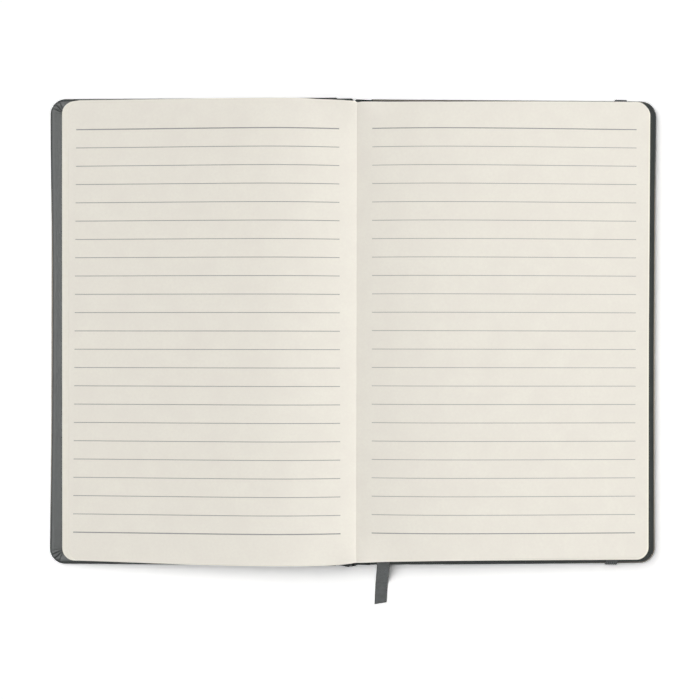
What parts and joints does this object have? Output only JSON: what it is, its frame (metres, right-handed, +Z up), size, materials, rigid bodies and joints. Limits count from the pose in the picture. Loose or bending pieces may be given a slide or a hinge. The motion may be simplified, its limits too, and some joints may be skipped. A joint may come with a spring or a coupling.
{
  "type": "ruled notebook",
  "caption": "Casebound ruled notebook lying open flat, with wrapped boards, rounded corners, cream ruled pages, a ribbon marker and an elastic closure band round the back cover.",
  "frame": {"origin": "on the table, below the middle of everything that is seen from above, which is close to the gutter", "axes": "+X across the spread from the front cover's fore-edge to the back cover's, +Y along the spine from tail to head, +Z up from the table"},
  "size_m": [0.2746, 0.2302, 0.0143],
  "materials": {
    "cover": "fine grained charcoal artificial leather, satin",
    "greyboard": "plain grey board",
    "card": "thin card",
    "endpaper": "smooth cream paper",
    "pages": "uncoated cream writing paper",
    "lining": "glued book cloth",
    "ink": "thin grey printed lines",
    "ribbon": "woven satin ribbon",
    "elastic": "ribbed woven elastic"
  },
  "bodies": {
    "book": {"page_block": "pages", "spine_lining": "lining", "spine_skin": "cover", "spine_inlay": "card", "front_page_rules": "ink", "back_page_rules": "ink", "ribbon_marker": "ribbon"},
    "front_cover": {"front_board": "greyboard", "front_cover_skin": "cover", "front_endpaper": "endpaper"},
    "back_cover": {"back_board": "greyboard", "back_cover_skin": "cover", "back_endpaper": "endpaper", "elastic_band": "elastic"}
  },
  "joints": [
    {"name": "front_cover_hinge", "type": "hinge", "parent": "book", "child": "front_cover", "pos_m": [-0.00784, 0.00915, 0.0059], "axis": [0, -1, 0], "range_deg": [0, 90]},
    {"name": "back_cover_hinge", "type": "hinge", "parent": "book", "child": "back_cover", "pos_m": [0.00776, 0.00915, 0.0032], "axis": [0, 1, 0], "range_deg": [0, 90]}
  ]
}
